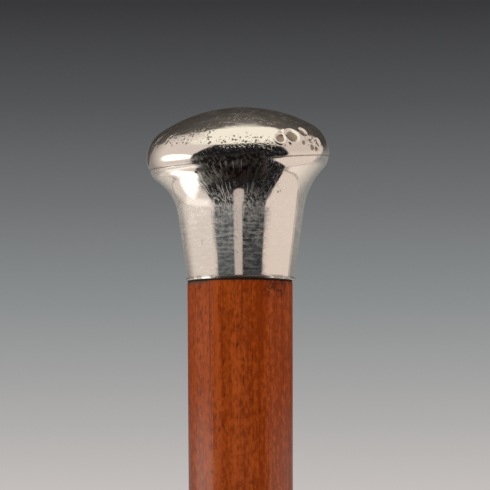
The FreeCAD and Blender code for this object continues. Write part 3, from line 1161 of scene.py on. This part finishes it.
def fromSeam(x, y, z):  # millimetres over the seam's plane
    middle, turn = seamFrame()
    across, along, over = (float(part) for part in turn[:, 2])
    level = float(middle @ turn[:, 2]) * mm
    return (x * across + y * along + z * over - level) / mm


def addSeamShade(axes, look, parts):  # painted shade along the seam's crease, with some dirt, and a painted dark reflection in a ragged patch at the front of the seam
    x, y, z = axes
    seam = fromSeam(x, y, z)
    blotch = parts["blotch"]
    # the crease darkens as painted shade, with some real dirt in it
    parts["crease"] = abs(seam).ease(*silver["crease"]) * (blotch * silver["creaseShadeBlotch"]).least(1)
    # a ragged patch of painted dark reflection at the front of the seam
    p = look["paintedDarkPatch"]
    soot = (abs(x - p["middle"] * mm) / mm + blotch * p["ragged"]).ease(*p["across"])
    soot = soot * (seam + blotch * p["raggedUp"]).ease(*p["up"])
    parts["soot"] = soot * y.ease(*inMetres(silver["front"]))
    return seam


def finishSilver(graph, look, parts, colour, scatter):  # scratches scatter part of the light
    s = silver
    # grime in pits and marks, darkening at the lip, and painted shade in the seam's crease darken the
    # silver
    colour = graph.blend(strongest(parts, look["grimyAndShaded"]), colour, s["grimeAndShade"])
    # the painted dark reflection at the front of the seam, lighter where scratches cross it
    paintedDarkTone = graph.blend(strongest(parts, look["paintedDarkLifted"]), s["soot"], s["colour"])
    colour = graph.blend(parts["soot"], colour, paintedDarkTone)
    dress(graph, look, parts, Base_Color=colour, Metallic=1 - scatter)


def makeCrownSilver():
    material, graph, place = newMaterial("worn_silver_crown")
    s, w = silver, crownWear
    f = w["fades"]
    axes = x, y, z = graph.apart(place)
    tarnish = graph.painted("tarnish")
    pitted = graph.painted("pits")
    blotch = graph.grain(place, *w["blotch"])
    strokes = []
    for (a, b), (c, d), upright, shift, fade in w["strokes"]:
        skewed = graph.vector(x * a + y * b, x * c + y * d, z * upright + shift)
        strokes.append(graph.grain(skewed, 1.0, w["strokesDetail"]).ease(*fade))
    dome = z.ease(*((rimHeight + up) * mm for up in w["domeFrom"]))
    strokes = strokes[0].most(strokes[1]) * dome.atLeast(w["strokesLeast"])
    # small pits, crowded along the shoulder
    pits = []
    for scale, fade, gather, crowd, share in w["pits"]:
        crowded = (pitted + blotch * gather - gather / 2).ease(*crowd)
        pits.append(graph.cells(place, scale).ease(*fade) * crowded * share)
    d = w["dirt"]
    dirt = (tarnish * d["gain"] + blotch - d["loss"]).ease(*d["fade"]) * tarnish.ease(*d["edge"])
    scuff = graph.drawn(axes, *w["scuff"]).ease(*f["scuff"])
    parts = {
        "blotch": blotch, "strokes": strokes,
        "dulled": dome * graph.grain(place, *w["dull"]).ease(*f["dull"]), "pitted": pitted,
        "pits": pits[0].most(pits[1]), "dirt": dirt, "scuff": scuff,
        "freckles": pitted * blotch.ease(*f["freckles"]), "coarse": blotch * pitted,
    }
    seam = addSeamShade(axes, w, parts)
    stain = graph.blend(x.ease(*inMetres(f["grimyLeft"])), s["tarnish"], s["grimeAndShade"])
    colour = graph.blend(dirt * d["share"], s["colour"], stain)
    # scratches scatter no light inside the painted dark reflection
    scuffed = scuff * seam.ease(*f["scuffUp"]) * w["scuffScatter"] * (1 - parts["soot"])
    scatter = weighed(parts, w["scatter"]).most(scuffed)
    finishSilver(graph, w, parts, colour, scatter)
    return material


def makeSkirtSilver():
    material, graph, place = newMaterial("worn_silver_skirt")
    s, w = silver, skirtWear
    f = w["fades"]
    axes = x, y, z = graph.apart(place)
    over = (z - rimHeight * mm) / mm
    flat = graph.vector(x - knob["shiftRight"] * mm, y, 0.0)
    unit = graph.wire("ShaderNodeVectorMath", {"operation": "NORMALIZE"}, {0: flat})
    across, along, _ = graph.apart(unit)
    blotch = graph.grain(place, *w["blotch"])
    # scratches that fan out up the flare, more of them on the left
    spread = across * (w["fanWide"] - over * w["fanNarrower"])
    fan, broken = (
        graph.grain(graph.vector(first * a, along * b, z * c), 1.0, detail)
        for first, (a, b, c, detail) in ((spread, w["fan"]), (across, w["broken"]))
    )
    fan = fan.ease(*f["fan"]) * broken.ease(*f["broken"]) * over.ease(*f["fanUp"])
    fan = fan * across.ease(*f["fanLeft"]).atLeast(w["fanLeast"])
    # fine rings round the neck, a haze, and a worn patch where the flare meets the neck
    grains = {name: graph.drawn(axes, *g).ease(*f[name]) for name, g in w["grains"].items()}
    rings = grains["rings"] * over.ease(*f["ringsUp"])
    frost = grains["frost"] * abs(over - w["frostHeight"]).ease(*f["frostUp"])
    frost = frost * across.ease(*f["frostLeft"]).atLeast(w["frostLeast"])
    lower = weighed({"rings": rings, "haze": grains["haze"]}, w["lower"])
    lower = lower * over.ease(*f["lowerUp"]).atLeast(w["lowerLeast"]) * over.ease(*f["lowerEndUp"])
    lower = lower * w["lowerShare"] * across.ease(*f["lowerLeft"]).atLeast(w["lowerRightLeast"])
    stray = [streaked(graph, axes, *way).ease(*fade) for *way, fade in w["stray"]]
    stray = stray[0].most(stray[1]).most(stray[2]) * blotch.ease(*f["strayBlotch"])
    # the lip is drawn darker and rougher, most at its front middle
    p = w["lipFrontDark"]
    lipFrontDark = over.ease(*f["lipFrontDarkUp"]) * abs(x - p["middle"] * mm).ease(*inMetres(p["across"]))
    lipFrontDark = lipFrontDark * y.ease(*inMetres(p["front"])) * p["share"]
    parts = {
        "blotch": blotch, "fan": fan, "rings": rings, "haze": grains["haze"], "frost": frost,
        "lower": (frost * w["frostGain"]).most(lower), "stray": stray,
        "specks": graph.cells(place, w["specks"]).ease(*f["speck"]) * blotch.ease(*f["speckBlotch"]),
        "marks": graph.painted("marks"),
        "lip": (over.ease(*f["lipUp"]) * blotch.ease(*f["lipBlotch"]) * w["lipShare"]).most(lipFrontDark),
    }
    addSeamShade(axes, w, parts)
    colour = graph.blend(parts["specks"] * w["speckShare"], s["colour"], s["tarnish"])
    # scratches scatter no light inside the painted dark reflection
    scatter = strongest(parts, w["scatter"]) * (1 - parts["soot"])
    finishSilver(graph, w, parts, colour, scatter)
    return material


cane = {
    "amber": (0.328, 0.0620, 0.0096),
    "brown": (0.176, 0.0256, 0.0032),
    "dark": (0.035, 0.0086, 0.0040),
    "grey": (0.066, 0.051, 0.041),
    # angle round from the front in degrees, positive to the right, and how amber the cane is there; the
    # stripes are the cane's own, and the lift from -61 to -27 degrees is partly a painted highlight
    "stripesAndLeftSheen": (
        (-180, 0.40), (-90, 0.40), (-61, 0.48), (-49, 0.62), (-37, 0.72), (-27, 0.82), (-21, 0.60),
        (-15.4, 0.24), (-10, 0.45), (-4.4, 0.80), (1, 0.52), (6.5, 0.32), (12, 0.26), (17.7, 0.05),
        (24, 0.15), (30, 0.28), (43, 0.22), (57, 0.18), (72, 0.12), (90, 0.2), (180, 0.4),
    ),
    "grains": {
        "wander": (60, 25), "band": (520, 14, 3.0, 0.6), "fibre": (2200, 45, 3.0, 0.6),
        "cloud": (110, 80), "mottle": (1300, 620, 4.0, 0.7), "row": (620, 6, 1.0, 0.5, 0, 5),
        "fleck": (1700, 560, 3.0, 0.6), "stain": (1050, 900, 5.0, 0.7),
    },
    # millimetres under the knob for names in Down, degrees round for names in Around
    "fades": {
        "amber": (-0.2, 1.2), "fibre": (0.53, 0.72), "row": (0.50, 0.62), "fleck": (0.54, 0.68),
        "lineAround": (1.2, 0.3), "lineDown": (26, 20), "lineBroken": (0.40, 0.54),
        "stain": (0.54, 0.68), "stainAround": (28, 12), "stainDown": (5.5, 2.0),
        "greyAround": (34, 18), "greyDown": (1.9, 0.8), "varnishDown": (20, 46),
    },
    "stripeWander": 14,  # degrees
    "variation": {"band": 1.0, "cloud": 0.7, "mottle": 3.8, "fibre": 2.8},
    "rowLeast": 0.15,
    "darkShares": {"fibre": 0.34, "fleck": 0.55},
    "lineAt": -34.8,
    "lineWander": 3,
    "lineShare": 0.8,
    "stainAt": 46,
    "stainMore": 0.12,
    "stainLeast": 0.25,
    "stainShare": 0.72,
    "greyAt": -62,
    "greyRagged": 1.2,
    "greyShare": 0.8,
    "roughness": 0.375,
    "rough": {"band": 0.15, "fleck": 0.2},
    "height": {"fibre": 6e-6, "band": 1.6e-5, "fleck": -1.5e-5, "mottle": 6e-6},
    "varnishLeast": 0.22,
    "varnish": {"Coat_Roughness": 0.18, "Coat_IOR": 1.5, "Specular_IOR_Level": 0.0},
}


def makeCane():
    material, graph, place = newMaterial("varnished_cane")
    c = cane
    f = c["fades"]
    axes = x, y, z = graph.apart(place)
    angle = x.maths("ARCTAN2", x, y * -1) * (180 / math.pi)
    g = {name: graph.drawn(axes, *values) for name, values in c["grains"].items()}
    wander = g["wander"] - 0.5
    # the amber by angle round holds the cane's stripes and, on the left, a painted highlight
    stripeAndSheen = graph.curve(angle + wander * c["stripeWander"], c["stripesAndLeftSheen"], -180, 180, 0, 1)
    amber = stripeAndSheen + weighed(g, c["variation"]) - sum(c["variation"].values()) / 2
    colour = graph.blend(amber.ease(*f["amber"]), c["brown"], c["amber"])
    # short dark flecks in rows along the fibres
    fleck = g["fleck"].ease(*f["fleck"]) * g["row"].ease(*f["row"]).atLeast(c["rowLeast"])
    dark = strongest({"fibre": g["fibre"].ease(*f["fibre"]), "fleck": fleck}, c["darkShares"])
    colour = graph.blend(dark, colour, c["dark"])
    # a dark fibre left of the front, and stains where the knob's rim held the wet
    under = (neckShoulder * mm - z) / mm
    fineLine = abs(angle - c["lineAt"] + wander * c["lineWander"]).ease(*f["lineAround"])
    fineLine = fineLine * under.ease(*f["lineDown"]) * g["mottle"].ease(*f["lineBroken"])
    right = abs(angle - c["stainAt"]).ease(*f["stainAround"])
    stain = (g["stain"] + right * c["stainMore"]).ease(*f["stain"])
    stain = stain * under.ease(*f["stainDown"]) * right.atLeast(c["stainLeast"])
    colour = graph.blend(stain.most(fineLine * c["lineShare"]) * c["stainShare"], colour, c["dark"])
    left = abs(angle - c["greyAt"]).ease(*f["greyAround"])
    left = left * (under + g["mottle"] * c["greyRagged"]).ease(*f["greyDown"])
    colour = graph.blend(left * c["greyShare"], colour, c["grey"])
    # the varnish is worn duller by the hand close to the knob
    coat = under.ease(*f["varnishDown"]).atLeast(c["varnishLeast"])
    parts = {**g, "fleck": fleck}
    dress(graph, c, parts, Base_Color=colour, Coat_Weight=coat, **c["varnish"])
    return material


brass = {
    "bright": (0.72, 0.50, 0.20),
    "dull": (0.30, 0.185, 0.085),
    "knock": (0.10, 0.065, 0.04),
    "blotch": (160.0, 5.0, 0.6),
    "rings": (60, 2600),
    "knocks": 330.0,  # a metre
    "knockShare": 0.7,
    "lowReach": 14,
    "lowMore": 0.15,
    "fades": {"knock": (0.22, 0.08), "knockBlotch": (0.5, 0.6), "dull": (0.42, 0.66), "rings": (0.5, 0.7)},
    "roughness": 0.20,
    "rough": {"dull": 0.25, "ringed": 0.15},
    "height": {"rings": 4e-6, "knock": -5e-5, "blotch": 3e-5},
}


def makeBrass():
    material, graph, place = newMaterial("worn_brass")
    b = brass
    f = b["fades"]
    axes = graph.apart(place)
    blotch = graph.grain(place, *b["blotch"])
    rings = graph.drawn(axes, *b["rings"])
    knock = graph.cells(place, b["knocks"]).ease(*f["knock"]) * blotch.ease(*f["knockBlotch"])
    low = axes[2].ease((sleeveBottom + b["lowReach"]) * mm, sleeveBottom * mm)
    dull = (blotch + low * b["lowMore"]).ease(*f["dull"])
    colour = graph.blend(dull, b["bright"], b["dull"])
    colour = graph.blend(knock * b["knockShare"], colour, b["knock"])
    ringed = rings.ease(*f["rings"])
    parts = {"blotch": blotch, "rings": rings, "ringed": ringed, "knock": knock, "dull": dull}
    dress(graph, b, parts, Base_Color=colour, Metallic=1.0)
    return material


iron = {
    "bare": (0.33, 0.31, 0.29),
    "rusty": (0.115, 0.050, 0.024),
    "blotch": (420.0, 5.0, 0.65),
    "scrape": (20, 1700, 180),  # angle, waves a metre across and along
    "pits": 900.0,  # a metre
    "rustReach": 4,
    "rustMore": 0.12,
    "rustDulls": 0.85,
    "fades": {"scrape": (0.58, 0.7), "rust": (0.48, 0.62), "pit": (0.3, 0.12)},
    "roughness": 0.36,
    "rough": {"rust": 0.38, "scrape": -0.1},
    "height": {"blotch": 5e-5, "pit": -7e-5, "scrape": -1.2e-5},
}


def makeIron():
    material, graph, place = newMaterial("worn_iron")
    i = iron
    f = i["fades"]
    axes = graph.apart(place)
    blotch = graph.grain(place, *i["blotch"])
    rust = (blotch + axes[2].ease(0.0, i["rustReach"] * mm) * i["rustMore"]).ease(*f["rust"])
    parts = {
        "blotch": blotch, "rust": rust,
        "scrape": streaked(graph, axes, *i["scrape"]).ease(*f["scrape"]),
        "pit": graph.cells(place, i["pits"]).ease(*f["pit"]) * rust,
    }
    colour = graph.blend(rust, i["bare"], i["rusty"])
    dress(graph, i, parts, Base_Color=colour, Metallic=1 - rust * i["rustDulls"])
    return material


beech = {
    "dark": (0.46, 0.27, 0.145),
    "pale": (0.62, 0.41, 0.24),
    "ray": (0.25, 0.125, 0.06),
    "grains": {"grain": (260, 16, 4.0, 0.6), "ray": (1500, 320, 1.0)},
    "fades": {"grain": (0.3, 0.7), "ray": (0.64, 0.72)},
    "rayShare": 0.5,
    "roughness": 0.6,
    "rough": {"grain": 0.15},
    "height": {"grain": 3e-5, "ray": -1e-5},
}


def makeBeech():
    material, graph, place = newMaterial("turned_beech")
    b = beech
    axes = graph.apart(place)
    parts = {name: graph.drawn(axes, *values) for name, values in b["grains"].items()}
    parts["ray"] = parts["ray"].ease(*b["fades"]["ray"])
    colour = graph.blend(parts["grain"].ease(*b["fades"]["grain"]), b["dark"], b["pale"])
    colour = graph.blend(parts["ray"] * b["rayShare"], colour, b["ray"])
    dress(graph, b, parts, Base_Color=colour)
    return material


# blotch, its fade, roughness and what the blotch adds to it, metal, and relief in metres
plainKinds = {
    "braze": ((900.0, 4.0, 0.6), (0.4, 0.65), 0.35, 0.25, 1.0, 4e-5),
    "solder": ((700.0, 4.0, 0.6), (0.4, 0.65), 0.35, 0.3, 1.0, 5e-5),
    "cement": ((1600.0, 4.0, 0.6), (0.35, 0.7), 0.55, 0.3, 0.0, 5e-5),
}

plainLooks = {
    "braze_metal": ("braze", (0.62, 0.46, 0.24), (0.24, 0.15, 0.08)),
    "soft_solder": ("solder", (0.60, 0.60, 0.59), (0.30, 0.295, 0.29)),
    "set_pitch": ("cement", (0.012, 0.010, 0.008), (0.035, 0.028, 0.022)),
    "neck_shellac": ("cement", (0.010, 0.008, 0.007), (0.030, 0.022, 0.018)),
    "foot_shellac": ("cement", (0.05, 0.028, 0.014), (0.10, 0.058, 0.030)),
}


def makePlain(name):
    material, graph, place = newMaterial(name)
    kind, first, second = plainLooks[name]
    noiseValues, fade, roughness, rough, metal, height = plainKinds[kind]
    blotch = graph.grain(place, *noiseValues)
    look = {"roughness": roughness, "rough": {"blotch": rough}, "height": {"blotch": height}}
    colour = graph.blend(blotch.ease(*fade), first, second)
    dress(graph, look, {"blotch": blotch}, Base_Color=colour, Metallic=metal)
    return material


finishes = {
    "knob_crown": makeCrownSilver(),
    "knob_skirt": makeSkirtSilver(),
    "seam_solder": makePlain("soft_solder"),
    "knob_pitch": makePlain("set_pitch"),
    "knob_core": makeBeech(),
    "neck_dowel": makeBeech(),
    "neck_cement": makePlain("neck_shellac"),
    "shaft": makeCane(),
    "ferrule_sleeve": makeBrass(),
    "ferrule_cement": makePlain("foot_shellac"),
    "ferrule_pins": makeBrass(),
    "ferrule_braze": makePlain("braze_metal"),
    "ferrule_tip": makeIron(),
}
print("materials are mixed")


# Shaft

shaft = {
    "footRadius": 8.6,
    "middleRadius": 10.45,
    "topRadius": 12.0,
    "edgeRounding": 0.25,
    "neckSpigotRadius": 11.2,
    "footSpigotRadius": 7.55,
    "rows": 90,
}


def shaftOutline():
    s = shaft
    low = sleeveTop + s["edgeRounding"]
    high = neckShoulder - s["edgeRounding"]
    outline = [(0, footEnd), (s["footSpigotRadius"], footEnd), (s["footSpigotRadius"], sleeveTop)]
    outline += corner(s["footRadius"] - s["edgeRounding"], low, s["edgeRounding"], -90, 0)
    for share in np.linspace(0, 1, s["rows"])[1:-1]:
        # a curve through the three radii, as the cane grew
        radius = s["footRadius"] * (1 - share) * (1 - 2 * share)
        radius += s["middleRadius"] * 4 * share * (1 - share)
        radius += s["topRadius"] * share * (2 * share - 1)
        outline.append((radius, low + (high - low) * share))
    outline += corner(s["topRadius"] - s["edgeRounding"], high, s["edgeRounding"], 0, 90)
    outline += [(s["neckSpigotRadius"], neckShoulder), (s["neckSpigotRadius"], neckEnd), (0, neckEnd)]
    return outline


# Ferrule

ferrule = {
    "radius": 8.5,
    "wall": 0.8,
    "edgeRounding": 0.3,
    "smallRounding": 0.08,
    "smallSteps": 4,
    "rows": 24,
    "tipRounding": 3.0,
    "tipSteps": 12,
    "ringRounding": 0.25,  # share of a ring's height
    "wornFace": ((0, 0.12), (0.35, 0.10), (0.7, 0.04)),  # share of the flat's radius, and height
    "tipSideShare": 0.75,
    "pinRadius": 0.8,
    "pinLength": 6.0,
    "pinProud": 0.02,
    "neckLineInset": 0.12,
}
sleeveBore = ferrule["radius"] - ferrule["wall"]


def sleeveOutline():
    f = ferrule
    small = f["smallRounding"]
    large = f["edgeRounding"]
    outline = [(sleeveBore, sleeveTop), (sleeveBore, sleeveBottom)]
    outline += corner(f["radius"] - small, sleeveBottom + small, small, -90, 0, f["smallSteps"])
    for share in np.linspace(0, 1, f["rows"])[1:-1]:
        outline.append((f["radius"], sleeveBottom + (sleeveTop - sleeveBottom) * share))
    outline += corner(f["radius"] - large, sleeveTop - large, large, 0, 90)
    return outline


def tipOutline():
    f = ferrule
    small = f["smallRounding"]
    flat = f["radius"] - f["tipRounding"]
    outline = [(flat * share, height) for share, height in f["wornFace"]]
    outline += corner(flat, f["tipRounding"], f["tipRounding"], -90, 0, f["tipSteps"])
    outline += [(f["radius"], tipTop * f["tipSideShare"])]
    outline += corner(f["radius"] - small, tipTop - small, small, 0, 90, f["smallSteps"])
    outline += [(sleeveBore, tipTop), (sleeveBore, plugTop), (0, plugTop)]
    return outline


def ringOutline(inner, outer, low, high):
    rounding = (high - low) * ferrule["ringRounding"]
    steps = ferrule["smallSteps"]
    outline = [(inner, high), (inner, low)]
    outline += corner(outer - rounding, low + rounding, rounding, -90, 0, steps)
    outline += corner(outer - rounding, high - rounding, rounding, 0, 90, steps)
    return outline


def makePins(finish):
    f = ferrule
    low, high = (heightOf("ferrule_pins", end) for end in (0, 1))
    reach = f["radius"] + f["pinProud"] - f["pinLength"] / 2
    places = [(reach, 0, high - f["pinRadius"]), (-reach, 0, low + f["pinRadius"])]
    sizes = {"Radius": f["pinRadius"] * mm, "Length": f["pinLength"] * mm, "Finish": finish}
    return grow("pins", pinTree(), places, [], sizes)


def makeTurnedPieces():
    tree = turnedTree()
    f = ferrule
    neckOuter = shaft["topRadius"] - f["neckLineInset"]
    neckRing = ringOutline(shaft["neckSpigotRadius"], neckOuter, neckShoulder, rimHeight)
    brazeRing = ringOutline(sleeveBore, f["radius"], tipTop, sleeveBottom)
    # node, name, outline, unevenness, waves per metre, stretch, whether the outline closes on itself
    plan = (
        ("shaft", "cane", shaftOutline(), 0.09, 90.0, 3.0, False),
        ("ferrule_sleeve", "sleeve", sleeveOutline(), 0.05, 120.0, 1.0, True),
        ("ferrule_tip", "tip", tipOutline(), 0.12, 260.0, 1.0, False),
        ("ferrule_braze", "braze", brazeRing, 0.05, 900.0, 1.0, True),
        ("neck_cement", "neck_line", neckRing, 0.05, 700.0, 1.0, True),
    )
    made = {}
    for node, name, outline, unevenness, waves, stretch, ring in plan:
        made[node] = turnPiece(name, tree, outline, finishes[node], unevenness, waves, stretch, ring)
    return made


pieces = makeTurnedPieces()
pieces["ferrule_pins"] = makePins(finishes["ferrule_pins"])
pieces["knob_crown"] = crownShell
pieces["knob_skirt"] = skirtShell
for node, piece in pieces.items():
    piece.data.materials.clear()
    piece.data.materials.append(finishes[node])
    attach(piece, "root")
    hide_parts(node)
for node in ("seam_solder", "knob_pitch", "knob_core", "neck_dowel", "ferrule_cement"):
    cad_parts[node].material_slots[0].material = finishes[node]
print("pieces are dressed")

bpy.context.scene.view_settings.view_transform = "Standard"
